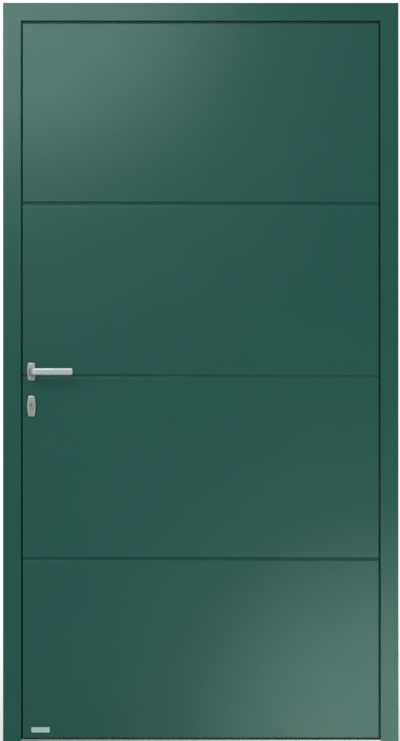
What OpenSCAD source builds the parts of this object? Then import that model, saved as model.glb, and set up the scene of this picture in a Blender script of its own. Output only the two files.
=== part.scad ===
// Flush front door in a thermally broken frame, opening inwards and hung on the right.
// X runs to the right seen from outside, Y inwards and Z up. The floor is at Z = 0,
// and the leaf's middle plane is at Y = 0.

/* [Frame] */
// Outside width of the frame
frame_w = 1100; // [900:10:1300]
// Outside height of the frame
frame_h = 2070; // [1950:10:2300]
// Depth of the frame, from its outside face to its inside face
frame_d = 75; // [74:1:90]
// Visible width of the frame's outside face
face_w = 50; // [46:1:70]
// Depth of the lip that the leaf closes against
lip_d = 22; // [20:1:26]
// Depth of the inner extrusion
inner_d = 29; // [27:1:31]
// Wall thickness of the extrusions
frame_wall = 2; // [1.5:0.1:2.5]
// Thickness of the thermal-break bars
bar_t = 2.4; // [2:0.1:3]
// Radius of the fixing holes in the jambs
fix_r = 4.25; // [3:0.25:5]

/* [Threshold] */
// Height of the upstand that the leaf closes against
upstand_h = 22; // [17:1:25]
// Height of the tread behind the upstand
tread_h = 8; // [7:0.5:10]
// Room between the tread and the leaf
tread_gap = 5; // [4:0.5:6]

/* [Leaf] */
// Visible gap at the sides of the leaf's outside face
leaf_gap = 4.5; // [3:0.5:7]
// Visible gap above the leaf's outside face
head_gap = 7; // [3:0.5:9]
// Visible gap between the leaf's outside face and the upstand
sill_gap = 3; // [2:0.5:5]
// How far the leaf laps behind the frame's lip
lap = 16; // [14:1:18]
// Room beside the leaf's edge for the keeps
edge_gap = 7; // [6:0.5:9]
// Room behind the lip for the seals
seal_gap = 5; // [4:0.5:6]
// Set-back of the leaf's outside face behind the frame's
leaf_recess = 3; // [0:0.5:6]
// Thickness of the steel skins
skin_t = 1; // [0.6:0.1:1.5]
// Width of the hinge stile
hinge_stile_w = 62; // [55:1:90]
// Height of the top and bottom rails
rail_h = 62; // [50:1:90]

/* [Grooves] */
// Height of the lower groove above the leaf's bottom edge
lower_groove_z = 498; // [200:1:700]
// Height of the middle groove above the leaf's bottom edge
middle_groove_z = 1007; // [800:1:1200]
// Height of the upper groove above the leaf's bottom edge
upper_groove_z = 1487; // [1300:1:1700]
// Width of a pressed groove
groove_w = 12; // [6:0.5:16]
// Depth of a pressed groove
groove_depth = 5; // [2:0.5:6]

/* [Lock] */
// Height of the lever's axis above the floor
lever_z = 1044; // [1000:1:1100]
// Distance from the lever's axis down to the key's axis
key_drop = 92; // [90:1:96]
// Distance from the leaf's edge to the lever's axis
backset = 45; // [42:1:50]
// Distance from the leaf's inside face to the middle of the lock
lock_depth = 17; // [16:1:18]
// Width of the forend and the keeps
forend_w = 24; // [22:1:24]
// Thickness of the forend and the keeps
forend_t = 3; // [2.5:0.5:3.5]
// Thickness of the lock cases
case_t = 16; // [16:0.5:18]
// Wall of the lock cases
case_wall = 1.5; // [1:0.25:1.5]
// Throw of the latch bolt
latch_throw = 12; // [10:0.5:12]
// Throw of the deadbolt, and travel of the drive rod
bolt_throw = 20; // [18:1:20]
// Height of the lower hook's pivot above the floor
lower_hook_z = 480; // [400:10:600]
// Distance from the frame's top down to the upper hook's pivot
upper_hook_drop = 450; // [400:10:500]

/* [Handles] */
// Length of the lever from its axis to its tip
lever_len = 116; // [90:1:140]
// Height of the lever's bar
lever_h = 20; // [16:0.5:22]
// Thickness of the lever's bar
lever_t = 11; // [8:0.5:14]
// Radius of the bend between the lever's neck and its bar, at their middle lines
lever_bend = 15; // [12:0.5:18]
// Reach of the lever from the leaf's face
lever_reach = 55; // [45:1:65]
// Width of the roses
rose_w = 24; // [24:0.5:32]
// Height of the lever's rose
rose_h = 50; // [50:1:62]
// Height of the key rose
key_rose_h = 58; // [58:1:68]
// Thickness of the roses
rose_t = 8; // [7:0.5:10]

/* [Hinges] */
// Height of a hinge
hinge_h = 100; // [90:5:130]
// Radius of the hinge barrel
barrel_r = 11; // [10:0.5:13]
// Radius of the hinge pin
pin_r = 6; // [4:0.5:7]
// Distance of the end hinges from the floor and from the frame's top
hinge_end = 250; // [180:10:300]
// Radius of the dog bolts
dog_r = 6; // [4:0.5:6]

/* [Hidden] */
$fn = 48;

// Clearances
play = 0.3;
run_fit = 0.05;
seat_fit = 0.2;
cut = 1;

// Frame
half_w = frame_w / 2;
jamb_w = face_w - lap - edge_gap;
mid_v = (frame_d + leaf_recess) / 2;
rebate_x = half_w - jamb_w;
inner_v = frame_d - inner_d;
fin_t = 1.2;
fin_h = 4;
bar_play = 0.1;
bar_rim = 1.2;
bar_us = [frame_wall + fin_t + bar_t / 2 + bar_play, jamb_w - bar_rim - fin_t - bar_t / 2 - bar_play];
edge_r = 1.5;
mitre_over = 10;
window_room = 2;
fix_end = 140;
fix_rows = 4;
fix_pitch = (frame_h - 2 * fix_end) / (fix_rows - 1);
fix_zs = [for (i = [0 : fix_rows - 1]) fix_end + i * fix_pitch];
cleat_len = 90;

// Seals: a foot in a slot and a hollow bulb that meets the leaf
slot_w = 4.4;
slot_d = 4.2;
outer_seal_in = 4.5;
inner_seal_in = 12;
seal_us = [face_w - outer_seal_in, face_w - inner_seal_in];
bulb_sink = 0.7;
bulb_r = (seal_gap - play + bulb_sink) / 2;
bulb_wall = 1.2;

// Threshold
seal_z = upstand_h - outer_seal_in;
nose_w = 4;
nose_h = 3;
tread_edge = 5;
rib_pitch = 6;
rib_h = 0.7;

// Leaf
leaf_t = frame_d - leaf_recess;
face_y = -leaf_t / 2;
back_y = leaf_t / 2;
shoulder_y = lip_d + seal_gap - mid_v;
narrow_x = half_w - face_w - leaf_gap;
narrow_z0 = upstand_h + sill_gap;
narrow_z1 = frame_h - face_w - head_gap;
wide_x = half_w - face_w + lap;
wide_z0 = tread_h + tread_gap;
wide_z1 = frame_h - face_w + lap;
inner_fold = 30;
stile_behind = 37;
lock_stile_w = backset + stile_behind;
stile_x0 = -wide_x + lock_stile_w;
stile_x1 = wide_x - hinge_stile_w;
rail_z0 = wide_z0 + rail_h;
rail_z1 = wide_z1 - rail_h;
groove_zs = [for (h = [lower_groove_z, middle_groove_z, upper_groove_z]) narrow_z0 + h];
groove_steps = 6;

// Bottom seal
sweep_w = 9;
sweep_d = 5;
sweep_y = back_y - inner_fold - sweep_w;
lip_w = 1.6;

// Lock: distances behind the forend's face
lock_y = back_y - lock_depth;
key_z = lever_z - key_drop;
lever_x = -wide_x + backset;
rod_a0 = forend_t + play;
rod_t = 2.5;
rod_w = forend_w - 5;
rod_room = 0.4;
case_a0 = rod_a0 + rod_t + rod_room;
case_behind = 22.5;
case_low = 82;
case_high = 66;
case_a1 = backset + case_behind;
case_z0 = key_z - case_low;
case_z1 = lever_z + case_high;
forend_z0 = 200;
forend_drop = 170;
forend_z1 = frame_h - forend_drop;
forend_end_r = 6;

// Latch bolt and follower
latch_rise = 33;
latch_z = lever_z + latch_rise;
latch_w = 12;
latch_h = 26;
latch_back = 20;
latch_nose = 3;
latch_root = 1;
tail_half = 2.5;
tail_h = 7;
tail_gap = 3;
lug_rise = 1.5;
stem_len = 14;
stem_play = 1;
arm_w = 5;
arm_r = 19;
lug_gap = 1.2;
lug_t = 3.5;
hub_r = 11;
boss_r = 8.5;
arm_half = 3;
spindle_w = 8;
spring_r = 4;
spring_wire = 0.6;
spring_turns = 7;
spring_sides = 6;
spring_ring_steps = 14;
spring_rise = 5;
spring_z = latch_z + spring_rise;
stop_behind = 5;
stop_t = 2;
spring_stop_a = backset + stop_behind;
spring_a0 = latch_back + spring_wire;
spring_a1 = spring_stop_a - spring_wire;

// Deadbolt: its slot at 45 degrees is moved past the rod's pin
bolt_rise = 40;
bolt_z = key_z + bolt_rise;
bolt_h = 32;
bolt_len = 40;
bolt_front = 6;
bolt_rear = 3.5;
bolt_y0 = lock_y - bolt_front;
bolt_y1 = lock_y + bolt_rear;
rod_pin_r = 2.5;
rod_pin_a = 11;
rod_pin_sink = 0.5;
tab_off = 4;
tab_t = 2;
tab_half = 5;

// Hooks: a fork on the hub takes the rod's pin, at 45 degrees to each side of level
hook_zs = [lower_hook_z, frame_h - upper_hook_drop];
hook_a = 17;
hook_t = 7;
hook_arm = 37;
hook_half = 6;
hook_nose = 4.5;
hook_nose_h = 8;
hook_nose_slope = 2;
hook_hub_r = 7;
hook_boss_r = 6.5;
hook_bore = 4;
fork_r = 16;
fork_floor = 7.6;
fork_half = 5.6;
fork_slot = 6.2;
fork_pin_r = 2;
fork_tab_half = 4;
fork_tab_end = 1.5;
fork_tab_t = 1.5;
hook_window_low = 36;
hook_window_high = 10;
hook_case_a1 = 46;
hook_case_low = 48;
hook_case_high = 26;
rod_low = 75;
rod_high = 30;
rod_z0 = hook_zs[0] - rod_low;
rod_z1 = hook_zs[1] + rod_high;

// Profile cylinder
cyl_r = 8.5;
cyl_slot = 10;
cyl_low = 24.5;
cyl_proud = 1.5;
cyl_end = leaf_t / 2 + rose_t + cyl_proud;
plug_r = 5;
cam_gap = 10;
cam_r = 15.3;
cam_ring_r = 8;
cam_room = 0.7;
cam_nose_r = 3;
cam_nose_rise = 1;
cyl_screw_drop = 20;
cyl_screw_over = 4;
keyway_w = 2.6;
keyway_h = 7.6;
keyway_floor = 1;
keyway_depth = 24;

// Keeps
strike_end = 20;
strike_z0 = bolt_z - bolt_h / 2 - strike_end;
strike_z1 = latch_z + latch_h / 2 + strike_end;
keep_low = 52;
keep_high = 36;
keep_slot_low = 31;
keep_slot_high = 7.5;

// Roses
rose_side_r = 105;
rose_side_fn = 360;
rose_corner_r = 8;
rose_wall = 1.5;
rose_round = 2.2;
rose_round_step = 45;
rose_base_t = 4;
key_rose_drop = 4;
spigot_r = 7.5;
rose_screw_off = 17.5;
key_rose_screws = [17, -28];

// Levers
lever_edge_r = 4;
lever_tip_r = 5;
socket_d = 18;
collar_rim = 0.25;
collar_r = lever_h / 2 + collar_rim;
collar_over = 1;
collar_edge = 1.5;

// Hinges
hinge_x = wide_x + edge_gap / 2;
hinge_stand = 1;
hinge_y = back_y + barrel_r + hinge_stand;
hinge_corner_r = 3;
hinge_zs = [hinge_end, frame_h / 2, frame_h - hinge_end];
knuckle_h = 0.4 * hinge_h;
plate_t = 5;
knuckle_gap = 1;
base_inset = 2;
base_w = half_w - base_inset - hinge_x - barrel_r - knuckle_gap;
wing_w = 28;
cap_h = 3;
hinge_screw_off = 34;
dog_off = 170;
dog_zs = [hinge_end + dog_off, frame_h - hinge_end - dog_off];
dog_point = 2;
dog_taper = 1.5;
dog_tip = edge_gap + dog_point;
dog_len = 30;
dog_keep_h = 60;
dog_room = 2;
dog_rim = 0.5;
dog_skin_hole = 5;

// Countersunk screws
screw_r = 2.2;
screw_head_r = 4.2;
screw_head_h = 2.2;
keep_screw_len = 12;
forend_screw_len = 28;
hinge_screw_len = 22;
rose_screw_r = 1.5;
rose_screw_head_r = 2.6;
rose_screw_len = 8;

forend_screw_in = 14;
hook_screw_off = 100;
case_screw_off = 40;
forend_screw_zs = concat(
  [forend_z0 + forend_screw_in, forend_z1 - forend_screw_in],
  [case_z0 - case_screw_off, case_z1 + case_screw_off],
  [for (z = hook_zs, o = [-1, 1]) z + o * hook_screw_off]
);
strike_screw_in = 9;
keep_screw_in = 8;
keep_screw_zs = concat(
  [strike_z0 + strike_screw_in, strike_z1 - strike_screw_in],
  [for (h = hook_zs, o = [keep_screw_in - keep_low, keep_high - keep_screw_in]) h + o]
);

green = "#24584e";
satin = "#b4b6b4";
steel = "#8f9394";
zinc = "#a9adb0";
black = "#1d1f20";
alu = "#aab8b7";
brass_grey = "#b9b4a4";
foam_yellow = "#d9cf9f";
board_grey = "#4b4f50";

// Box from its lowest to its highest corner
module block(lo, hi) {
  translate(lo) cube(hi - lo);
}

// Draws its child's (x, z) outline through the depth y0 to y1
module through_y(y0, y1) {
  translate([0, y1, 0]) rotate([90, 0, 0]) linear_extrude(y1 - y0) children();
}

// Draws its child's (y, z) section along the width x0 to x1
module along_x(x0, x1) {
  translate([x0, 0, 0]) rotate([90, 0, 90]) linear_extrude(x1 - x0) children();
}

module rod_y(r, y0, y1) {
  translate([0, y1, 0]) rotate([90, 0, 0]) cylinder(r = r, h = y1 - y0);
}

module rod_x(r, x0, x1) {
  translate([x0, 0, 0]) rotate([0, 90, 0]) cylinder(r = r, h = x1 - x0);
}

module rounded_square(w, h, r) {
  square([w - 2 * r, h], center = true);
  square([w, h - 2 * r], center = true);
  for (x = [-1, 1], y = [-1, 1]) translate([x * (w / 2 - r), y * (h / 2 - r)]) circle(r);
}

// Rectangle from the origin, with its two corners at y = 0 rounded
module soft_front(w, d) {
  translate([0, edge_r]) square([w, d - edge_r]);
  translate([edge_r, 0]) square([w - 2 * edge_r, d]);
  for (x = [edge_r, w - edge_r]) translate([x, edge_r]) circle(edge_r);
}

// Countersunk screw with its head's face at the origin and its shank along +Z
module screw(r, head_r, len, grow = 0) {
  translate([0, 0, -grow]) cylinder(r1 = head_r + grow, r2 = r + grow, h = screw_head_h);
  cylinder(r = r + grow, h = len + grow);
}

// Places of the screws, each turned so that +Z is the way the shank goes
module at_keep_screws() {
  for (z = keep_screw_zs) translate([forend_t - rebate_x, lock_y, z]) rotate([0, -90, 0]) children();
}

module at_dog_keep_screws() {
  for (z = dog_zs, o = [-1, 1])
    translate([rebate_x - forend_t, lock_y, z + o * (dog_keep_h / 2 - keep_screw_in)])
      rotate([0, 90, 0]) children();
}

module at_forend_screws() {
  for (z = forend_screw_zs) translate([-wide_x, lock_y, z]) rotate([0, 90, 0]) children();
}

module at_base_screws() {
  for (z = hinge_zs, o = [-1, 1])
    translate([half_w - base_inset - base_w / 2, back_y + plate_t, z + o * hinge_screw_off])
      rotate([90, 0, 0]) children();
}

module at_wing_screws() {
  for (z = hinge_zs, o = [-1, 1])
    translate([hinge_x - barrel_r - knuckle_gap - wing_w / 2, back_y + plate_t, z + o * hinge_screw_off])
      rotate([90, 0, 0]) children();
}

module at_rose_screws() {
  for (s = [-1, 1])
    mirror([0, s > 0 ? 1 : 0, 0]) {
      for (z = concat([for (o = [-1, 1]) lever_z + o * rose_screw_off], [for (o = key_rose_screws) key_z + o]))
        translate([lever_x, face_y - rose_base_t, z]) rotate([-90, 0, 0]) children();
    }
}

// Frame sections, with u across the face from the frame's edge and v inwards from its outside face
module bar_fins(v) {
  for (u = bar_us, s = [-1, 1])
    translate([u + s * (bar_t / 2 + bar_play + fin_t / 2) - fin_t / 2, v]) square([fin_t, fin_h]);
}

module seal_slots() {
  for (u = seal_us) translate([u - slot_w / 2, lip_d - slot_d]) square([slot_w, slot_d + cut]);
}

module outer_section() {
  bar_fins(lip_d);
  difference() {
    soft_front(face_w, lip_d);
    translate([frame_wall, frame_wall]) square([jamb_w - 2 * frame_wall, lip_d - 2 * frame_wall]);
    translate([jamb_w, frame_wall]) square([face_w - frame_wall - jamb_w, lip_d - slot_d - 2 * frame_wall]);
    seal_slots();
  }
}

module inner_section() {
  bar_fins(inner_v - fin_h);
  translate([0, frame_d]) mirror([0, 1]) difference() {
    soft_front(jamb_w, inner_d);
    translate([frame_wall, frame_wall]) square([jamb_w - 2 * frame_wall, inner_d - 2 * frame_wall]);
  }
}

module bar_section() {
  for (u = bar_us) translate([u - bar_t / 2, lip_d]) square([bar_t, inner_v - lip_d]);
}

module seal_section(u) {
  foot_w = slot_w - 2 * seat_fit;
  difference() {
    union() {
      translate([u - foot_w / 2, lip_d - slot_d + seat_fit]) square([foot_w, slot_d - seat_fit]);
      translate([u, lip_d - bulb_sink + bulb_r]) circle(bulb_r);
    }
    translate([u, lip_d - bulb_sink + bulb_r]) circle(bulb_r - bulb_wall);
  }
}

// Triangle on one side of the left mitre line, as an (x, z) outline
module mitre_side(above) {
  low = face_w + mitre_over;
  polygon([
    [-half_w - cut, frame_h + cut],
    [-half_w + low, frame_h - low],
    above ? [-half_w + low, frame_h + cut] : [-half_w - cut, frame_h - low]
  ]);
}

// Upright member of a (u, v) section, mitred at its top and set down by gap; side is -1 at the lock
// and 1 at the hinges
module upright(side, z0 = 0, gap = 0) {
  mirror([side > 0 ? 1 : 0, 0, 0]) difference() {
    translate([-half_w, -mid_v, z0]) linear_extrude(frame_h - z0) children();
    translate([0, 0, -gap]) through_y(-frame_d, frame_d) mitre_side(true);
  }
}

// Level member of a (u, v) section, mitred at both ends
module crossbar() {
  difference() {
    along_x(-half_w, half_w) translate([-mid_v, frame_h]) rotate(-90) children();
    for (m = [0, 1]) mirror([m, 0, 0]) through_y(-frame_d, frame_d) mitre_side(false);
  }
}

module fixing_holes() {
  for (z = fix_zs)
    translate([0, frame_d - inner_d / 2 - mid_v, z]) rod_x(fix_r, -half_w - cut, -rebate_x + cut);
}

module lock_jamb_outer() {
  color(green) upright(-1) outer_section();
}

module lock_jamb_inner() {
  wall_x0 = -rebate_x - frame_wall - cut;
  wall_x1 = -rebate_x + cut;
  color(green) difference() {
    upright(-1) inner_section();
    fixing_holes();
    block([wall_x0, lock_y - latch_w / 2 - window_room, latch_z - latch_h / 2 - window_room],
          [wall_x1, lock_y + latch_w / 2 + window_room, latch_z + latch_h / 2 + window_room]);
    block([wall_x0, bolt_y0 - window_room, bolt_z - bolt_h / 2 - window_room],
          [wall_x1, bolt_y1 + window_room, bolt_z + bolt_h / 2 + window_room]);
    for (z = hook_zs)
      block([wall_x0, lock_y - hook_t / 2 - window_room, z - keep_slot_low - window_room],
            [wall_x1, lock_y + hook_t / 2 + window_room, z + hook_half + hook_nose + window_room]);
    at_keep_screws() screw(screw_r, screw_head_r, keep_screw_len, run_fit);
  }
}

module hinge_jamb_outer() {
  color(green) upright(1) outer_section();
}

module hinge_jamb_inner() {
  color(green) difference() {
    upright(1) inner_section();
    mirror([1, 0, 0]) fixing_holes();
    for (z = dog_zs)
      translate([0, lock_y, z]) rod_x(dog_r + dog_room + dog_rim, rebate_x - cut, rebate_x + frame_wall + cut);
    at_dog_keep_screws() screw(screw_r, screw_head_r, keep_screw_len, run_fit);
    at_base_screws() screw(screw_r, screw_head_r, hinge_screw_len, run_fit);
  }
}

module head_outer() {
  color(green) crossbar() outer_section();
}

module head_inner() {
  color(green) crossbar() inner_section();
}

module thermal_break_bars() {
  color(black) {
    upright(-1, 0, play) bar_section();
    upright(1, 0, play) bar_section();
    crossbar() bar_section();
  }
}

// Angle that joins the mitred corner inside one chamber
module cleat(v0, v1) {
  u0 = frame_wall + play;
  u1 = jamb_w - frame_wall - play;
  block([u0 - half_w, v0 - mid_v, frame_h - cleat_len], [u1 - half_w, v1 - mid_v, frame_h - u0]);
  block([u0 - half_w, v0 - mid_v, frame_h - u1], [cleat_len - half_w, v1 - mid_v, frame_h - u0]);
}

module corner_cleats() {
  color(zinc) for (m = [0, 1]) mirror([m, 0, 0]) {
    cleat(frame_wall + play, lip_d - frame_wall - play);
    cleat(inner_v + frame_wall + play, frame_d - frame_wall - play);
  }
}

module frame_seals() {
  color(black) for (u = seal_us) {
    upright(-1, tread_h, play) seal_section(u);
    upright(1, tread_h, play) seal_section(u);
    crossbar() seal_section(u);
  }
}

// Threshold sections in (y, z)
module upstand_section() {
  difference() {
    translate([-mid_v, 0]) difference() {
      polygon([[0, 0], [lip_d, 0], [lip_d, upstand_h], [nose_w, upstand_h], [0, upstand_h - nose_h]]);
      translate([frame_wall, frame_wall])
        square([lip_d - slot_d - 2 * frame_wall, upstand_h - nose_h - 2 * frame_wall]);
    }
    translate([lip_d - slot_d - mid_v, seal_z - slot_w / 2]) square([slot_d + cut, slot_w]);
  }
}

module tread_section() {
  room = tread_h - 2 * frame_wall;
  translate([-mid_v, 0]) difference() {
    polygon([
      [lip_d, 0], [frame_d, 0], [frame_d, tread_h / 2], [frame_d - tread_edge, tread_h], [lip_d, tread_h]
    ]);
    for (v = [lip_d + 2 * rib_pitch : rib_pitch : frame_d - tread_edge - rib_pitch / 2])
      translate([v, tread_h - rib_h]) square([rib_pitch / 3, rib_h + cut]);
    for (v = [lip_d + frame_wall, (lip_d + frame_d) / 2])
      translate([v, frame_wall]) square([(frame_d - lip_d) / 2 - tread_edge, room]);
  }
}

module threshold() {
  color(alu) {
    along_x(face_w - half_w, half_w - face_w) upstand_section();
    along_x(-rebate_x, rebate_x) tread_section();
  }
}

module threshold_seal() {
  color(black) along_x(face_w - half_w, half_w - face_w)
    translate([-mid_v, 0]) mirror([1, -1, 0]) seal_section(seal_z);
}

// Plate on the lock jamb's rebate, with its screw holes
module keep_plate(z0, z1) {
  difference() {
    block([-rebate_x, lock_y - forend_w / 2, z0], [forend_t - rebate_x, lock_y + forend_w / 2, z1]);
    at_keep_screws() screw(screw_r, screw_head_r, keep_screw_len, run_fit);
    children();
  }
}

module strike_plate() {
  x0 = -rebate_x - cut;
  x1 = forend_t - rebate_x + cut;
  color(steel) keep_plate(strike_z0, strike_z1) {
    block([x0, lock_y - latch_w / 2 - cut, latch_z - latch_h / 2 - cut],
          [x1, lock_y + latch_w / 2 + cut, latch_z + latch_h / 2 + cut]);
    block([x0, bolt_y0 - cut, bolt_z - bolt_h / 2 - cut], [x1, bolt_y1 + cut, bolt_z + bolt_h / 2 + cut]);
  }
}

module hook_keep(z) {
  color(steel) keep_plate(z - keep_low, z + keep_high)
    block([-rebate_x - cut, lock_y - hook_t / 2 - cut, z - keep_slot_low],
          [forend_t - rebate_x + cut, lock_y + hook_t / 2 + cut, z + keep_slot_high]);
}

module lower_hook_keep() {
  hook_keep(hook_zs[0]);
}

module upper_hook_keep() {
  hook_keep(hook_zs[1]);
}

module dog_bolt_keeps() {
  color(steel) for (z = dog_zs) difference() {
    block([rebate_x - forend_t, lock_y - forend_w / 2, z - dog_keep_h / 2],
          [rebate_x, lock_y + forend_w / 2, z + dog_keep_h / 2]);
    translate([0, lock_y, z]) rod_x(dog_r + dog_room, rebate_x - forend_t - cut, rebate_x + cut);
    at_dog_keep_screws() screw(screw_r, screw_head_r, keep_screw_len, run_fit);
  }
}

// Hinge half: side is 1 for the frame's base, with the middle knuckle, and -1 for the leaf's wing
module hinge_half(z, side, plate_w) {
  gap = side > 0 ? 0 : play;
  spans = side > 0
    ? [[-knuckle_h / 2, knuckle_h / 2]]
    : [[-hinge_h / 2, -knuckle_h / 2 - gap], [knuckle_h / 2 + gap, hinge_h / 2]];
  plate_x = barrel_r + knuckle_gap;
  translate([hinge_x, hinge_y, z]) mirror([side > 0 ? 0 : 1, 0, 0]) difference() {
    union() {
      through_y(back_y - hinge_y, back_y - hinge_y + plate_t)
        translate([plate_x + plate_w / 2, 0]) rounded_square(plate_w, hinge_h, hinge_corner_r);
      for (s = spans) {
        translate([0, 0, s[0]]) cylinder(r = barrel_r, h = s[1] - s[0]);
        block([barrel_r / 2, back_y - hinge_y, s[0]],
              [plate_x + hinge_corner_r, back_y - hinge_y + plate_t, s[1]]);
      }
    }
    translate([0, 0, -hinge_h]) cylinder(r = pin_r + run_fit, h = 2 * hinge_h);
  }
}

module hinge_base(z) {
  color(satin) difference() {
    hinge_half(z, 1, base_w);
    at_base_screws() screw(screw_r, screw_head_r, hinge_screw_len, run_fit);
  }
}

module hinge_wing(z) {
  color(satin) difference() {
    hinge_half(z, -1, wing_w);
    at_wing_screws() screw(screw_r, screw_head_r, hinge_screw_len, run_fit);
  }
}

module lower_hinge_base() {
  hinge_base(hinge_zs[0]);
}

module middle_hinge_base() {
  hinge_base(hinge_zs[1]);
}

module upper_hinge_base() {
  hinge_base(hinge_zs[2]);
}

module lower_hinge_wing() {
  hinge_wing(hinge_zs[0]);
}

module middle_hinge_wing() {
  hinge_wing(hinge_zs[1]);
}

module upper_hinge_wing() {
  hinge_wing(hinge_zs[2]);
}

// Pin with a rounded cap at each end
module hinge_pins() {
  color(satin) for (z = hinge_zs) translate([hinge_x, hinge_y, z]) {
    cylinder(r = pin_r, h = hinge_h + 2 * play, center = true);
    for (m = [0, 1]) mirror([0, 0, m]) translate([0, 0, hinge_h / 2 + play]) {
      cylinder(r = barrel_r, h = cap_h / 2);
      translate([0, 0, cap_h / 2]) cylinder(r1 = barrel_r, r2 = barrel_r - cap_h / 2, h = cap_h / 2);
    }
  }
}

module frame_screws() {
  color(zinc) {
    at_keep_screws() screw(screw_r, screw_head_r, keep_screw_len);
    at_dog_keep_screws() screw(screw_r, screw_head_r, keep_screw_len);
    at_base_screws() screw(screw_r, screw_head_r, hinge_screw_len);
  }
}

// Front of the leaf from z0 to z1 as (y, z) points, with the pressed grooves, set back by inset
function groove_line(z, inset) = [
  for (i = [-groove_steps : groove_steps])
    let (t = i / groove_steps)
      [face_y + inset + groove_depth * (1 + cos(180 * t)) / 2, z + t * groove_w / 2]
];
function front_line(z0, z1, inset) = concat(
  [[face_y + inset, z0]],
  [for (z = groove_zs) each groove_line(z, inset)],
  [[face_y + inset, z1]]
);

// Solid behind the outside face, from x0 to x1 and z0 to z1, back to y
module front_fill(x0, x1, z0, z1, inset, y) {
  along_x(x0, x1) polygon(concat(front_line(z0, z1, inset), [[y, z1], [y, z0]]));
}

// Block with the four edges of its face at y = 0 rounded, from -x to x
module soft_tray(x, d, h) {
  intersection() {
    translate([-x, 0, 0]) linear_extrude(h) soft_front(2 * x, d);
    along_x(-x, x) mirror([1, -1]) soft_front(h, d);
  }
}

// Outline of the profile cylinder in (x, z)
module cylinder_outline(grow = 0) {
  translate([lever_x, key_z]) {
    circle(cyl_r + grow);
    translate([-cyl_slot / 2 - grow, cyl_slot / 2 - cyl_low])
      square([cyl_slot + 2 * grow, cyl_low - cyl_slot / 2]);
    translate([0, cyl_slot / 2 - cyl_low]) circle(cyl_slot / 2 + grow);
  }
}

// Holes that the handle, the cylinder and the rose screws take through the leaf
module handle_holes() {
  translate([lever_x, 0, lever_z]) rod_y(spigot_r + play, -leaf_t, leaf_t);
  through_y(-leaf_t, leaf_t) cylinder_outline(seat_fit);
  at_rose_screws() screw(rose_screw_r, rose_screw_head_r, rose_screw_len, run_fit);
}

module outer_skin() {
  color(green) difference() {
    intersection() {
      front_fill(-narrow_x, narrow_x, narrow_z0, narrow_z1, 0, shoulder_y);
      translate([0, face_y, narrow_z0]) soft_tray(narrow_x, shoulder_y - face_y, narrow_z1 - narrow_z0);
    }
    front_fill(skin_t - narrow_x, narrow_x - skin_t, narrow_z0 + skin_t, narrow_z1 - skin_t, skin_t,
               shoulder_y + cut);
    handle_holes();
  }
}

module forend_slot(depth) {
  block([-wide_x - cut, lock_y - forend_w / 2, forend_z0],
        [-wide_x + depth, lock_y + forend_w / 2, forend_z1]);
}

module inner_skin() {
  color(green) difference() {
    translate([0, back_y, wide_z0]) mirror([0, 1, 0]) soft_tray(wide_x, inner_fold, wide_z1 - wide_z0);
    block([skin_t - wide_x, back_y - inner_fold - cut, wide_z0 + skin_t],
          [wide_x - skin_t, back_y - skin_t, wide_z1 - skin_t]);
    forend_slot(forend_t);
    handle_holes();
    for (z = dog_zs) translate([0, lock_y, z]) rod_x(dog_r + run_fit, wide_x - dog_skin_hole, wide_x + cut);
    at_wing_screws() screw(screw_r, screw_head_r, hinge_screw_len, run_fit);
  }
}

module foam_core() {
  color(foam_yellow) front_fill(stile_x0, stile_x1, rail_z0, rail_z1, skin_t, back_y - skin_t);
}

// Edge member behind the skins: narrow in front of the shoulder, wide behind it
module edge_member(x0, x1, z0, z1) {
  front_x0 = max(x0, skin_t - narrow_x);
  front_x1 = min(x1, narrow_x - skin_t);
  front_z0 = max(z0, narrow_z0 + skin_t);
  front_z1 = min(z1, narrow_z1 - skin_t);
  if (front_z1 - front_z0 > rail_h)
    front_fill(front_x0, front_x1, front_z0, front_z1, skin_t, shoulder_y);
  else
    block([front_x0, face_y + skin_t, front_z0], [front_x1, shoulder_y, front_z1]);
  block([x0, shoulder_y, z0], [x1, back_y - inner_fold, z1]);
  block([max(x0, skin_t - wide_x), back_y - inner_fold, max(z0, wide_z0 + skin_t)],
        [min(x1, wide_x - skin_t), back_y - skin_t, min(z1, wide_z1 - skin_t)]);
}

// Slot along the leaf's edge for a lock case
module case_pocket(z0, z1, a1) {
  block([-wide_x - cut, lock_y - case_t / 2 - seat_fit, z0 - seat_fit],
        [-wide_x + a1 + seat_fit, lock_y + case_t / 2 + seat_fit, z1 + seat_fit]);
}

module lock_stile() {
  color(board_grey) difference() {
    edge_member(-wide_x, stile_x0, wide_z0, wide_z1);
    forend_slot(forend_t);
    block([-wide_x - cut, lock_y - rod_w / 2 - play, rod_z0 - play],
          [-wide_x + case_a0, lock_y + rod_w / 2 + play, rod_z1 + bolt_throw + play]);
    case_pocket(case_z0, case_z1, case_a1);
    for (z = hook_zs) case_pocket(z - hook_case_low, z + hook_case_high, hook_case_a1);
    handle_holes();
    at_forend_screws() screw(screw_r, screw_head_r, forend_screw_len, run_fit);
    bottom_seal_slot();
  }
}

module hinge_stile() {
  color(board_grey) difference() {
    edge_member(stile_x1, wide_x, wide_z0, wide_z1);
    for (z = dog_zs) translate([0, lock_y, z]) rod_x(dog_r + run_fit, wide_x - dog_len, wide_x + cut);
    at_wing_screws() screw(screw_r, screw_head_r, hinge_screw_len, run_fit);
    bottom_seal_slot();
  }
}

module top_rail() {
  color(board_grey) edge_member(stile_x0, stile_x1, rail_z1, wide_z1);
}

module bottom_rail() {
  color(board_grey) difference() {
    edge_member(stile_x0, stile_x1, wide_z0, rail_z0);
    bottom_seal_slot();
  }
}

// Bottom seal: a foot in a slot under the leaf and two lips that reach down to the tread
module bottom_seal_slot() {
  block([-wide_x - cut, sweep_y - sweep_w / 2, wide_z0 - cut],
        [wide_x + cut, sweep_y + sweep_w / 2, wide_z0 + sweep_d]);
}

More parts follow.
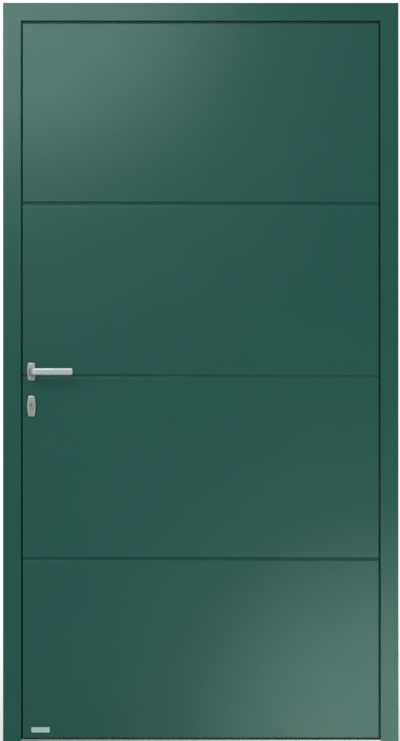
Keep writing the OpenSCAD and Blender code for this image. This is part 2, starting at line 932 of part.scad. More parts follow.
module bottom_seal() {
  reach = tread_gap - play;
  foot = sweep_w / 2 - seat_fit;
  side = [
    [foot, sweep_d - seat_fit], [foot, 0], [foot + lip_w, -reach / 2], [foot, -reach],
    [foot - lip_w, -reach], [foot, -reach / 2], [foot - lip_w, 0]
  ];
  last = len(side) - 1;
  color(black) along_x(-wide_x, wide_x) translate([sweep_y, wide_z0])
    polygon(concat(side, [for (i = [0 : last]) [-side[last - i][0], side[last - i][1]]]));
}

// Slot of the given half width through the forend, in front of a moving bolt
module forend_window(y0, y1, z0, z1) {
  block([-wide_x - cut, y0, z0], [-wide_x + forend_t + cut, y1, z1]);
}

module forend() {
  color(steel) difference() {
    along_x(-wide_x, forend_t - wide_x) translate([lock_y, (forend_z0 + forend_z1) / 2])
      rounded_square(forend_w, forend_z1 - forend_z0, forend_end_r);
    forend_window(lock_y - latch_w / 2 - play, lock_y + latch_w / 2 + play,
                  latch_z - latch_h / 2 - play, latch_z + latch_h / 2 + play);
    forend_window(bolt_y0 - play, bolt_y1 + play, bolt_z - bolt_h / 2 - play, bolt_z + bolt_h / 2 + play);
    for (z = hook_zs)
      forend_window(lock_y - hook_t / 2 - cut, lock_y + hook_t / 2 + cut,
                    z - hook_window_low, z + hook_window_high);
    at_forend_screws() screw(screw_r, screw_head_r, forend_screw_len, run_fit);
    translate([-wide_x, lock_y, key_z - cyl_screw_drop]) rotate([0, 90, 0])
      screw(screw_r, screw_head_r, backset, run_fit);
  }
}

// Case open to the forend; the cover closes its inside face
module lock_case() {
  x0 = case_a0 - wide_x;
  x1 = case_a1 - wide_x;
  y0 = lock_y - case_t / 2;
  y1 = lock_y + case_t / 2 - case_wall;
  color(zinc) {
    difference() {
      block([x0, y0, case_z0], [x1, y1, case_z1]);
      block([x0 - cut, y0 + case_wall, case_z0 + case_wall], [x1 - case_wall, y1 + cut, case_z1 - case_wall]);
      translate([lever_x, 0, lever_z]) rod_y(boss_r + run_fit, y0 - cut, y1 + cut);
      through_y(y0 - cut, y1 + cut) cylinder_outline(seat_fit);
    }
    block([spring_stop_a - wide_x, y0 + case_wall, spring_z - spring_r - stop_t],
          [spring_stop_a - wide_x + stop_t, y1, spring_z + spring_r + stop_t]);
  }
}

module lock_cover() {
  y1 = lock_y + case_t / 2;
  color(zinc) difference() {
    block([case_a0 - wide_x, y1 - case_wall, case_z0], [case_a1 - wide_x, y1, case_z1]);
    translate([lever_x, 0, lever_z]) rod_y(boss_r + run_fit, y1 - 2 * case_wall, y1 + cut);
    through_y(y1 - 2 * case_wall, y1 + cut) cylinder_outline(seat_fit);
  }
}

module hook_case(z) {
  x0 = case_a0 - wide_x;
  x1 = hook_case_a1 - wide_x;
  half = case_t / 2;
  low = z - hook_case_low;
  high = z + hook_case_high;
  color(zinc) difference() {
    block([x0, lock_y - half, low], [x1, lock_y + half, high]);
    block([x0 - cut, lock_y - half + case_wall, low + case_wall],
          [x1 - case_wall, lock_y + half - case_wall, high - case_wall]);
    translate([hook_a - wide_x, lock_y, z]) rod_y(hook_bore + run_fit, -case_t, case_t);
  }
}

module lower_hook_case() {
  hook_case(hook_zs[0]);
}

module upper_hook_case() {
  hook_case(hook_zs[1]);
}

module hook_pivot_pins() {
  color(steel) for (z = hook_zs)
    translate([hook_a - wide_x, lock_y, z]) rod_y(hook_bore, -case_t / 2, case_t / 2);
}

module cylinder_body() {
  color(brass_grey) difference() {
    through_y(-cyl_end, cyl_end) cylinder_outline();
    block([lever_x - 2 * cyl_r, lock_y - cam_gap / 2, key_z - cam_r - cam_room],
          [lever_x + 2 * cyl_r, lock_y + cam_gap / 2, key_z + 2 * cyl_r]);
    translate([lever_x, 0, key_z]) rod_y(plug_r + run_fit, -cyl_end - cut, cyl_end + cut);
    translate([0, lock_y, key_z - cyl_screw_drop])
      rod_x(screw_r + run_fit, lever_x - 2 * cyl_r, lever_x + 2 * cyl_r);
  }
}

module cylinder_screw() {
  color(zinc) translate([-wide_x, lock_y, key_z - cyl_screw_drop]) rotate([0, 90, 0])
    screw(screw_r, screw_head_r, backset + cyl_screw_over);
}

// Plugs that the key turns, one from each side, meeting inside the cam
module key_plugs() {
  floor_z = keyway_floor - plug_r;
  color(brass_grey) translate([lever_x, 0, key_z]) for (s = [-1, 1]) difference() {
    rod_y(plug_r, s < 0 ? -cyl_end : lock_y + play / 2, s < 0 ? lock_y - play / 2 : cyl_end);
    block([-keyway_w / 2, s * cyl_end - (s < 0 ? cut : keyway_depth), floor_z],
          [keyway_w / 2, s * cyl_end + (s < 0 ? keyway_depth : cut), floor_z + keyway_h]);
  }
}

module cylinder_cam() {
  half = cam_gap / 2 - play;
  color(steel) translate([lever_x, 0, key_z]) difference() {
    through_y(lock_y - half, lock_y + half) {
      circle(cam_ring_r);
      translate([-cam_nose_r, cam_nose_rise - cam_r]) square([2 * cam_nose_r, cam_r - cam_nose_rise]);
      translate([0, cam_nose_r - cam_r]) circle(cam_nose_r);
    }
    rod_y(plug_r + run_fit, lock_y - cam_gap, lock_y + cam_gap);
  }
}

// Compression spring behind the latch bolt, swept round its axis
function spring_points() = [
  for (i = [0 : spring_turns * spring_ring_steps], j = [0 : spring_sides - 1])
    let (
      turn = 360 * i / spring_ring_steps,
      round = 360 * j / spring_sides,
      r = spring_r + spring_wire * cos(round),
      a = spring_a0 + (spring_a1 - spring_a0) * i / (spring_turns * spring_ring_steps)
    )
      [a + spring_wire * sin(round), r * cos(turn), r * sin(turn)]
];

module latch_spring() {
  n = spring_sides;
  last = spring_turns * spring_ring_steps;
  faces = concat(
    [[for (j = [n - 1 : -1 : 0]) j]],
    [for (i = [0 : last - 1], j = [0 : n - 1])
      [i * n + j, i * n + (j + 1) % n, (i + 1) * n + (j + 1) % n, (i + 1) * n + j]],
    [[for (j = [0 : n - 1]) last * n + j]]
  );
  color(steel) translate([-wide_x, lock_y, spring_z]) polyhedron(spring_points(), faces);
}

// Narrow oval rose in (x, z): bowed sides and rounded ends
module rose_outline(h, inset) {
  off = rose_side_r - rose_w / 2;
  intersection() {
    translate([-off, 0]) circle(rose_side_r - inset, $fn = rose_side_fn);
    translate([off, 0]) circle(rose_side_r - inset, $fn = rose_side_fn);
    rounded_square(rose_w - 2 * inset, h - 2 * inset, rose_corner_r - inset);
  }
}

// Cover shell with a rounded front edge, standing on the leaf's outside face
module rose_cover(h, z) {
  translate([lever_x, face_y, z]) difference() {
    hull() for (angle = [0 : rose_round_step : 90])
      through_y(rose_round * (1 - sin(angle)) - rose_t, 0) rose_outline(h, rose_round * (1 - cos(angle)));
    through_y(rose_wall - rose_t, cut) rose_outline(h, rose_wall);
  }
}

module lever_rose(side) {
  color(satin) mirror([0, side > 0 ? 1 : 0, 0]) difference() {
    rose_cover(rose_h, lever_z);
    translate([lever_x, face_y, lever_z]) rod_y(spigot_r + play, -2 * rose_t, cut);
  }
}

module key_rose(side) {
  color(satin) mirror([0, side > 0 ? 1 : 0, 0]) difference() {
    rose_cover(key_rose_h, key_z - key_rose_drop);
    through_y(face_y - 2 * rose_t, face_y + cut) cylinder_outline(seat_fit);
  }
}

module outer_lever_rose() {
  lever_rose(-1);
}

module inner_lever_rose() {
  lever_rose(1);
}

module outer_key_rose() {
  key_rose(-1);
}

module inner_key_rose() {
  key_rose(1);
}

// Base plates that the covers clip over
module rose_bases() {
  inset = rose_wall + seat_fit;
  color(zinc) for (m = [0, 1]) mirror([0, m, 0]) difference() {
    union() {
      translate([lever_x, face_y, lever_z]) through_y(-rose_base_t, 0) rose_outline(rose_h, inset);
      translate([lever_x, face_y, key_z - key_rose_drop])
        through_y(-rose_base_t, 0) rose_outline(key_rose_h, inset);
    }
    handle_holes();
  }
}

module rose_screws() {
  color(steel) at_rose_screws() screw(rose_screw_r, rose_screw_head_r, rose_screw_len);
}

// Steel pins in the hinge edge that hold the closed leaf
module dog_bolts() {
  color(steel) for (z = dog_zs) translate([0, lock_y, z]) {
    rod_x(dog_r, wide_x - dog_len, wide_x + dog_tip - dog_point);
    translate([wide_x + dog_tip - dog_point, 0, 0]) rotate([0, 90, 0])
      cylinder(r1 = dog_r, r2 = dog_r - dog_taper, h = dog_point);
  }
}

module leaf_screws() {
  color(zinc) {
    at_forend_screws() screw(screw_r, screw_head_r, forend_screw_len);
    at_wing_screws() screw(screw_r, screw_head_r, hinge_screw_len);
  }
}

// Lever: a spigot that turns in the rose, a round collar before it, and a flat bar bent from the
// collar's axis to run along the leaf
module lever_bar_section() {
  rounded_square(lever_t, lever_h, lever_edge_r);
}

module lever(side) {
  reach_y = face_y - lever_reach;
  bar_y = reach_y + lever_t / 2;
  bend_y = bar_y + lever_bend;
  spigot_y = face_y - rose_base_t - play;
  collar_y = spigot_y - socket_d - collar_over;
  color(satin) translate([lever_x, 0, lever_z]) mirror([0, side > 0 ? 1 : 0, 0]) difference() {
    union() {
      intersection() {
        along_x(lever_bend, lever_len) translate([bar_y, 0]) lever_bar_section();
        through_y(reach_y - cut, 0) translate([lever_len / 2 - lever_h, 0])
          rounded_square(lever_len + 2 * lever_h, lever_h, lever_tip_r);
      }
      translate([lever_bend, bend_y, 0]) rotate(180) rotate_extrude(angle = 90)
        translate([lever_bend, 0]) lever_bar_section();
      through_y(bend_y, collar_y + collar_over) lever_bar_section();
      rod_y(collar_r, collar_y, face_y - rose_t - play);
      translate([0, collar_y, 0]) rotate([90, 0, 0])
        cylinder(r1 = collar_r, r2 = collar_r - collar_edge, h = collar_edge);
      rod_y(spigot_r, collar_y, spigot_y);
    }
    block([-spindle_w / 2 - run_fit, spigot_y - socket_d, -spindle_w / 2 - run_fit],
          [spindle_w / 2 + run_fit, spigot_y + cut, spindle_w / 2 + run_fit]);
  }
}

module outer_lever() {
  lever(-1);
}

module inner_lever() {
  lever(1);
}

module spindle() {
  end = leaf_t / 2 + rose_base_t + socket_d;
  color(zinc) translate([lever_x, 0, lever_z])
    block([-spindle_w / 2, -end, -spindle_w / 2], [spindle_w / 2, end, spindle_w / 2]);
}

// Follower: bosses that run in the case and the cover, and an arm that draws the latch bolt back
module follower() {
  half = case_t / 2 - case_wall - play;
  hole = spindle_w / 2 + run_fit;
  color(zinc) translate([lever_x, lock_y, lever_z]) difference() {
    union() {
      rod_y(hub_r, -half, half);
      rod_y(boss_r, -case_t / 2, case_t / 2);
      block([-arm_w / 2, -arm_half, 0], [arm_w / 2, arm_half, arm_r]);
    }
    block([-hole, -case_t, -hole], [hole, case_t, hole]);
  }
}

// Latch bolt: bevelled head, flat tail with the lug that the follower pushes, and the spring's stem
module latch_bolt() {
  lug_a = backset + arm_w / 2 + lug_gap;
  lug_z0 = lever_z + hub_r + lug_rise;
  tail_z0 = lever_z + arm_r + tail_gap;
  half = latch_w / 2;
  color(zinc) translate([-wide_x, lock_y, 0]) {
    translate([0, 0, latch_z - latch_h / 2]) linear_extrude(latch_h) polygon([
      [latch_back, -half], [latch_back, half], [-latch_throw, half], [-latch_throw, half - latch_nose],
      [-latch_root, -half]
    ]);
    block([latch_back - cut, -tail_half, tail_z0], [lug_a + lug_t, tail_half, tail_z0 + tail_h]);
    block([lug_a, -tail_half, lug_z0], [lug_a + lug_t, tail_half, tail_z0 + cut]);
    translate([0, 0, spring_z])
      rod_x(spring_r - spring_wire - stem_play, latch_back - cut, latch_back + stem_len);
  }
}

// Deadbolt with the slot at 45 degrees that moves the drive rod
module deadbolt() {
  color(steel) difference() {
    block([play - wide_x, bolt_y0, bolt_z - bolt_h / 2], [bolt_len - wide_x, bolt_y1, bolt_z + bolt_h / 2]);
    through_y(lock_y - rod_pin_sink - play, bolt_y1 + cut)
      translate([rod_pin_a - wide_x, bolt_z - bolt_throw / 2]) rotate(45) {
        circle(rod_pin_r + seat_fit);
        translate([0, -rod_pin_r - seat_fit]) square([bolt_throw * sqrt(2), 2 * (rod_pin_r + seat_fit)]);
        translate([bolt_throw * sqrt(2), 0]) circle(rod_pin_r + seat_fit);
      }
  }
}

// Window in the drive rod round a bolt at z0 to z1, long enough for the rod's travel
module rod_window(y0, y1, z0, z1) {
  block([rod_a0 - cut - wide_x, y0, z0 - bolt_throw - cut], [rod_a0 + rod_t + cut - wide_x, y1, z1 + cut]);
}

// Drive rod behind the forend, with bent tabs that carry the pins for the deadbolt and the hooks
module drive_rod() {
  tab_y = lock_y + tab_off;
  fork_pin_z = bolt_throw / 2;
  color(zinc) {
    difference() {
      block([rod_a0 - wide_x, lock_y - rod_w / 2, rod_z0],
            [rod_a0 + rod_t - wide_x, lock_y + rod_w / 2, rod_z1]);
      rod_window(lock_y - latch_w / 2 - play, lock_y + latch_w / 2 + play,
                 latch_z - latch_h / 2, latch_z + latch_h / 2);
      rod_window(bolt_y0 - play, bolt_y1 + play, bolt_z - bolt_h / 2, bolt_z + bolt_h / 2);
      rod_window(lock_y - screw_head_r - cut, lock_y + screw_head_r + cut,
                 key_z - cyl_screw_drop - screw_head_r, key_z - cyl_screw_drop + screw_head_r);
      for (z = hook_zs)
        rod_window(lock_y - hook_t / 2 - play, lock_y + hook_t / 2 + play,
                   z - hook_window_low, z + hook_window_high);
      for (z = forend_screw_zs)
        rod_window(lock_y - screw_r - play, lock_y + screw_r + play, z - screw_r, z + screw_r);
    }
    block([rod_a0 - wide_x, tab_y, bolt_z - bolt_throw / 2 - tab_half],
          [rod_pin_a + rod_pin_r - wide_x, tab_y + tab_t, bolt_z - bolt_throw / 2 + tab_half]);
    translate([rod_pin_a - wide_x, 0, bolt_z - bolt_throw / 2])
      rod_y(rod_pin_r, lock_y - rod_pin_sink, tab_y + tab_t);
    for (z = hook_zs) {
      block([rod_a0 - wide_x, tab_y, z - fork_pin_z - fork_tab_half],
            [hook_a - fork_pin_z + fork_tab_end - wide_x, tab_y + fork_tab_t, z - fork_pin_z + fork_tab_half]);
      translate([hook_a - fork_pin_z - wide_x, 0, z - fork_pin_z])
        rod_y(fork_pin_r, lock_y - hook_t / 2, tab_y + fork_tab_t);
    }
  }
}

// Hook bolt about its pivot in (x, z): arm hanging down, nose towards the forend, fork for the rod's pin
module hook_outline() {
  difference() {
    union() {
      circle(hook_hub_r);
      translate([-hook_half, -hook_arm]) square([2 * hook_half, hook_arm]);
      polygon([
        [-hook_half, -hook_arm], [-hook_half - hook_nose, -hook_arm + hook_nose_slope],
        [-hook_half - hook_nose, -hook_arm + hook_nose_h], [-hook_half, -hook_arm + hook_nose_h]
      ]);
      rotate(225) translate([0, -fork_half]) square([fork_r, 2 * fork_half]);
    }
    rotate(225) translate([fork_floor, -fork_slot / 2]) square([fork_r, fork_slot]);
  }
}

module hook(z) {
  half = case_t / 2 - case_wall - play;
  color(steel) translate([hook_a - wide_x, lock_y, z]) difference() {
    union() {
      through_y(-hook_t / 2, hook_t / 2) hook_outline();
      rod_y(hook_boss_r, -half, half);
    }
    rod_y(hook_bore + run_fit, -case_t, case_t);
  }
}

module lower_hook() {
  hook(hook_zs[0]);
}

module upper_hook() {
  hook(hook_zs[1]);
}

lock_jamb_outer();
lock_jamb_inner();
hinge_jamb_outer();
hinge_jamb_inner();
head_outer();
head_inner();
thermal_break_bars();
corner_cleats();
frame_seals();
threshold();
threshold_seal();
strike_plate();
upper_hook_keep();
lower_hook_keep();
dog_bolt_keeps();
upper_hinge_base();
middle_hinge_base();
lower_hinge_base();
hinge_pins();
frame_screws();
outer_skin();
inner_skin();
foam_core();
lock_stile();
hinge_stile();
top_rail();
bottom_rail();
bottom_seal();
forend();
lock_case();
lock_cover();
upper_hook_case();
lower_hook_case();
hook_pivot_pins();
cylinder_body();
cylinder_screw();
latch_spring();
outer_lever_rose();
inner_lever_rose();
outer_key_rose();
inner_key_rose();
rose_bases();
rose_screws();
upper_hinge_wing();
middle_hinge_wing();
lower_hinge_wing();
dog_bolts();
leaf_screws();
outer_lever();
inner_lever();
spindle();
follower();
latch_bolt();
key_plugs();
cylinder_cam();
deadbolt();
drive_rod();
upper_hook();
lower_hook();
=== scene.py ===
"""Flush front door in its frame: a finish for every piece, its small fittings, and a studio round it."""
import math

import bmesh
import bpy
from mathutils import Matrix, Vector


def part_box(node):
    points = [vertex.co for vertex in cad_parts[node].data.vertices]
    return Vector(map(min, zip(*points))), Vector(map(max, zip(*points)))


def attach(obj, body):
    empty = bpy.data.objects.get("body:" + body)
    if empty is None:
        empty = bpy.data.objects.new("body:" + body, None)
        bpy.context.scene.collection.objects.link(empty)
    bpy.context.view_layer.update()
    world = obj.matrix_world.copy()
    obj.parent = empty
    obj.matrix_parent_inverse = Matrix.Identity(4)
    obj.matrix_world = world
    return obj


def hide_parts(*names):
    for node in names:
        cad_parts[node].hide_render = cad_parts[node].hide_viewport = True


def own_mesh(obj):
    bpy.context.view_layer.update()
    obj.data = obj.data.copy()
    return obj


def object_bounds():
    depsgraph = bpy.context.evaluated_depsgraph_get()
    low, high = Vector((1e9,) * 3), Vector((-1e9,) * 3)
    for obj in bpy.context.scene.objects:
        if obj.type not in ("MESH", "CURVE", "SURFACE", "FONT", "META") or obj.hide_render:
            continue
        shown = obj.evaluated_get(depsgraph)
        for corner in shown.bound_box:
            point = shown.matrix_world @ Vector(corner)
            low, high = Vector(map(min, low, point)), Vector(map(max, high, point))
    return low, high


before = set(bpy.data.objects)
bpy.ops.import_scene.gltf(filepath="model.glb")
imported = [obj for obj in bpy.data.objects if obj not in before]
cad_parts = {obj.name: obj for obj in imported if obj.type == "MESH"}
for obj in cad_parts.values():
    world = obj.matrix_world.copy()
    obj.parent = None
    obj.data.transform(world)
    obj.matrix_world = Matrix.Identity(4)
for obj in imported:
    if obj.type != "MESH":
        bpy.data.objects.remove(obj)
CAD_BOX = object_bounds()

bl_info = {
    "name": "Flush Front Door",
    "version": (1, 0, 0),
    "blender": (4, 5, 0),
    "location": "View3D > Sidebar > Front Door",
    "description": "Finishes and small fittings of a flush front door, with a plain studio",
    "category": "Object",
}

IMAGE_W = 400
IMAGE_H = 741
MERGE = 1e-5
X, Y, Z = 0, 1, 2
WHITE = (1, 1, 1, 1)
# Sockets of a colour Mix node, whose names repeat for each kind of data
MIX_FACTOR, MIX_A, MIX_B, MIX_RESULT = 0, 6, 7, 2

FRAME_PAINTED = [
    "lock_jamb_outer", "lock_jamb_inner", "hinge_jamb_outer", "hinge_jamb_inner",
    "head_outer", "head_inner",
]
LEAF_PAINTED = ["outer_skin", "inner_skin"]
SEALS = ["frame_seals", "threshold_seal", "bottom_seal"]
LEVERS = ["outer_lever", "inner_lever"]
ROSES = ["outer_lever_rose", "inner_lever_rose", "outer_key_rose", "inner_key_rose"]
HINGES = [f"{place}_hinge_{half}" for place in ("upper", "middle", "lower") for half in ("base", "wing")]
STRIPS = ["forend", "strike_plate", "upper_hook_keep", "lower_hook_keep", "dog_bolt_keeps"]
BOLTS = ["deadbolt", "upper_hook", "lower_hook", "dog_bolts", "hook_pivot_pins", "cylinder_cam"]
PLATED = [
    "lock_case", "lock_cover", "upper_hook_case", "lower_hook_case", "rose_bases", "rose_screws",
    "drive_rod", "spindle", "follower", "latch_bolt",
]
EDGES = ["lock_stile", "hinge_stile", "top_rail", "bottom_rail"]
SCREWS = {"frame_screws": "frame", "leaf_screws": "leaf", "cylinder_screw": "leaf"}

SCREW_SIDES = 24
DRIVE_LOBES = 6
# Shares of a screw head's radius: the rim round its drive, and how deep the drive's lobes go
DRIVE_RIM = 0.45
LOBE_DEPTH = 0.14
SPRING_TURNS = 7
TURN_STEPS = 24
WIRE_SIDES = 10
CORNER_STEPS = 6

# Soft square lamps before the door, which are repeated behind it, and one above it
KEY_PLACE = (-3.0, -4.2, 3.4)
KEY_SIDE = 4.0
FILL_PLACE = (3.6, -3.2, 2.6)
FILL_SIDE = 3.6
TOP_PLACE = (0.0, 0.4, 5.2)
TOP_SIDE = 4.0
# Half width and half height of each card's reflection, and how far before the door the cards hang
UPPER_CARD = (0.57, 0.41)
LOWER_CARD = (0.48, 0.48)
CARD_AHEAD = 1.3
FLOOR_R = 40.0
FLOOR_SIDES = 96
FADE_NEAR = 1.2
FADE_FAR = 3.6
FAR_CLIP = 100.0


def linear(hex_colour):
    """Turns an sRGB hex colour into linear red, green, blue and alpha."""
    channels = [int(hex_colour[i:i + 2], 16) / 255 for i in (1, 3, 5)]
    return [c / 12.92 if c <= 0.04045 else ((c + 0.055) / 1.055) ** 2.4 for c in channels] + [1.0]


def shaded(colour, amount):
    """The same hue, darker below 1 and lighter above it."""
    return [min(1.0, c * amount) for c in colour[:3]] + [1.0]


def per_metre(size_mm):
    """Pattern scale at which one feature is as long as size_mm."""
    return 1000 / size_mm


def add(tree, kind, inputs=None, **settings):
    """Adds a node: settings are its own properties, and inputs are socket values or sockets to link."""
    node = tree.nodes.new(kind)
    for name, value in settings.items():
        setattr(node, name, value)
    for name, value in (inputs or {}).items():
        if isinstance(value, bpy.types.NodeSocket):
            tree.links.new(value, node.inputs[name])
        else:
            node.inputs[name].default_value = value
    return node


def start_material(name):
    """Empty material with its node tree and its Object coordinates."""
    material = bpy.data.materials.new(name)
    material.use_nodes = True
    tree = material.node_tree
    tree.nodes.clear()
    return material, tree, add(tree, "ShaderNodeTexCoord").outputs["Object"]


def colour_setting(name, description, hex_colour):
    return bpy.props.FloatVectorProperty(
        name=name, description=description, subtype="COLOR", size=4, min=0.0, max=1.0,
        default=linear(hex_colour),
    )


def length_setting(name, description, size_mm):
    return bpy.props.FloatProperty(
        name=name, description=description, subtype="DISTANCE", unit="LENGTH", min=0.0,
        default=size_mm / 1000,
    )


def pixel_setting(name, description, pixels):
    return bpy.props.FloatProperty(name=name, description=description, subtype="PIXEL", default=pixels)


def power_setting(name, description, watts):
    return bpy.props.FloatProperty(name=name, description=description, unit="POWER", min=0.0, default=watts)


def share_setting(name, description, share):
    return bpy.props.FloatProperty(
        name=name, description=description, subtype="FACTOR", min=0.0, max=1.0, default=share,
    )


class DoorColours(bpy.types.PropertyGroup):
    """Colours of the finishes."""
    paint: colour_setting("Paint", "Powder coat on the frame and the leaf", "#14544A")
    # Lever and rose are one satin stainless steel: the green tint in both is painted reflection of the green
    # paint, and the rose's darker tone is painted shade
    lever: colour_setting("Lever", "Satin stainless steel of the levers", "#AEBABA")
    rose: colour_setting("Rose", "Satin stainless steel of the roses", "#9CA7A3")
    hinge: colour_setting("Hinge", "Satin stainless steel of the hinges", "#C6CAC8")
    steel: colour_setting("Steel", "Drawn steel of the forend, the keeps and the bolts", "#AEB2B3")
    zinc: colour_setting("Zinc", "Zinc plating of the lock's inner parts and the screws", "#B9BFC6")
    nickel: colour_setting("Nickel", "Satin nickel of the key cylinder", "#B4B2AA")
    aluminium: colour_setting("Aluminium", "Anodised aluminium of the threshold", "#8E9B97")
    plate: colour_setting("Plate", "Anodised aluminium of the small plate", "#BED5D0")
    rubber: colour_setting("Rubber", "Extruded rubber of the seals", "#191B1B")
    polyamide: colour_setting("Polyamide", "Thermal-break bars", "#222425")
    foam: colour_setting("Foam", "Insulation inside the leaf", "#D8CD9B")
    # The board's green is the edge members' finish, made lighter than the leaf's paint so that the shaded
    # gaps round the leaf read lighter: painted light
    board_and_gap_light: colour_setting("Board", "Laminated edge members of the leaf", "#336B60")
    floor: colour_setting("Floor", "Studio floor", "#F2F2F0")
    card: colour_setting("Card", "Light of the cards that show in the paint", "#FFF2F0")


class DoorSizes(bpy.types.PropertyGroup):
    """Sizes of the small fittings."""
    plate_w: length_setting("Plate width", "Width of the small bare plate", 51)
    plate_h: length_setting("Plate height", "Height of the small bare plate", 14.5)
    plate_t: length_setting("Plate thickness", "Thickness of the small bare plate", 1.2)
    plate_corner: length_setting("Plate corner", "Corner radius of the small bare plate", 2)
    plate_rim: length_setting("Plate rim", "Width of the plate's raised rim", 1)
    plate_field: length_setting("Plate field", "Depth of the field inside the rim", 0.3)
    plate_from_edge: length_setting("Plate from edge", "From the leaf's edge to the plate's middle", 49.9)
    plate_from_bottom: length_setting("Plate from foot", "From the leaf's foot to the plate's middle", 22.7)
    drive_depth: length_setting("Drive depth", "Depth of the six-lobe drive in a screw head", 1.6)
    head_height: length_setting("Head height", "Height of a countersunk screw head", 2.2)
    grub_r: length_setting("Grub radius", "Radius of a lever's grub screw", 2.4)
    grub_len: length_setting("Grub length", "Length of a lever's grub screw", 5)
    grub_off: length_setting("Grub distance", "From the rose's face to a lever's grub screw", 8)
    wire_r: length_setting("Wire radius", "Radius of the latch spring's wire", 0.6)
    latch_throw: length_setting("Latch throw", "How far the latch bolt presses its spring", 12.6)


class DoorStage(bpy.types.PropertyGroup):
    """Camera and light."""
    photo_left: pixel_setting("Left edge", "Pixel column of the frame's left edge", 3.0)
    photo_right: pixel_setting("Right edge", "Pixel column of the frame's right edge", 398.5)
    photo_top: pixel_setting("Top edge", "Pixel row of the frame's top edge", 2.8)
    lens: bpy.props.FloatProperty(
        name="Lens", description="Focal length of the camera", subtype="DISTANCE_CAMERA", default=140.0,
    )
    key_power: power_setting("Key lamp", "Power of the lamps at the left of each side", 134.0)
    fill_power: power_setting("Fill lamp", "Power of the lamps at the right of each side", 56.0)
    top_power: power_setting("Top lamp", "Power of the lamp above the door", 60.0)
    card_power: power_setting("Cards", "Power of the cards that show in the paint", 22.0)
    ambient: share_setting("Ambient", "Even light from all round", 0.35)
    backdrop: share_setting("Backdrop", "Brightness of the pale backdrop in mirrors", 0.45)


class DoorStep(bpy.types.Operator):
    """One step in dressing the door."""
    bl_options = {"REGISTER", "UNDO"}

    @property
    def colours(self):
        return bpy.context.scene.door_colours

    @property
    def sizes(self):
        return bpy.context.scene.door_sizes


def dress(nodes, material):
    """Gives CAD nodes their finish."""
    for name in nodes:
        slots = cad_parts[name].material_slots
        if not slots:
            raise RuntimeError(f"{name} has no material slot")
        for slot in slots:
            slot.material = material


def place_piece(name, bm, material, body, smooth=False):
    """Makes a piece from a bmesh, with its finish, riding on a body."""
    mesh = bpy.data.meshes.new(name)
    bm.to_mesh(mesh)
    bm.free()
    mesh.materials.append(material)
    piece = bpy.data.objects.new(name, mesh)
    bpy.context.scene.collection.objects.link(piece)
    if smooth:
        mesh.shade_smooth()
    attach(piece, body)
    return piece


def powder_coat(name, colour):
    """Powder coat baked on metal: an even satin colour whose orange peel blurs what it mirrors."""
    material, tree, place = start_material(name)
    drift = add(tree, "ShaderNodeTexNoise", {"Vector": place, "Scale": per_metre(420), "Detail": 2.0})
    tint = add(tree, "ShaderNodeMix", {
        MIX_FACTOR: drift.outputs["Fac"], MIX_A: shaded(colour, 0.95), MIX_B: shaded(colour, 1.05),
    }, data_type="RGBA")
    cloud = add(tree, "ShaderNodeTexNoise", {"Vector": place, "Scale": per_metre(70), "Detail": 3.0})
    roughness = add(tree, "ShaderNodeMapRange", {
        "Value": cloud.outputs["Fac"], "From Min": 0.3, "From Max": 0.7, "To Min": 0.34, "To Max": 0.38,
    })
    # The real peel is about a millimetre; it is drawn at 2.5 mm so that it shows from a step away
    peel = add(tree, "ShaderNodeTexNoise", {"Vector": place, "Scale": per_metre(2.5), "Detail": 1.0})
    bump = add(tree, "ShaderNodeBump", {"Height": peel.outputs["Fac"], "Strength": 0.12, "Distance": 4e-5})
    shader = add(tree, "ShaderNodeBsdfPrincipled", {
        "Base Color": tint.outputs[MIX_RESULT], "Roughness": roughness.outputs["Result"],
        "Normal": bump.outputs["Normal"], "IOR": 1.5, "Specular IOR Level": 0.25,
    })
    add(tree, "ShaderNodeOutputMaterial", {"Surface": shader.outputs["BSDF"]})
    return material


def brushed_metal(name, colour, along, line_mm, smooth, rough, stretch=40):
    """Metal brushed along one axis: streaks of bright and dull gloss, each stretch times as long as wide."""
    material, tree, place = start_material(name)
    # Real brush lines are a tenth of a millimetre apart; they are drawn coarser so that they show
    scale = [per_metre(line_mm)] * 3
    scale[along] = per_metre(stretch * line_mm)
    stretched = add(tree, "ShaderNodeMapping", {"Vector": place, "Scale": scale})
    lines = add(tree, "ShaderNodeTexNoise", {
        "Vector": stretched.outputs["Vector"], "Scale": 1.0, "Detail": 3.0, "Roughness": 0.6,
    })
    tint = add(tree, "ShaderNodeMix", {
        MIX_FACTOR: lines.outputs["Fac"], MIX_A: shaded(colour, 0.86), MIX_B: shaded(colour, 1.08),
    }, data_type="RGBA")
    roughness = add(tree, "ShaderNodeMapRange", {
        "Value": lines.outputs["Fac"], "From Min": 0.3, "From Max": 0.7, "To Min": smooth, "To Max": rough,
    })
    bump = add(tree, "ShaderNodeBump", {"Height": lines.outputs["Fac"], "Strength": 0.15, "Distance": 2e-5})
    shader = add(tree, "ShaderNodeBsdfPrincipled", {
        "Base Color": tint.outputs[MIX_RESULT], "Metallic": 1.0, "Roughness": roughness.outputs["Result"],
        "Normal": bump.outputs["Normal"],
    })
    add(tree, "ShaderNodeOutputMaterial", {"Surface": shader.outputs["BSDF"]})
    return material


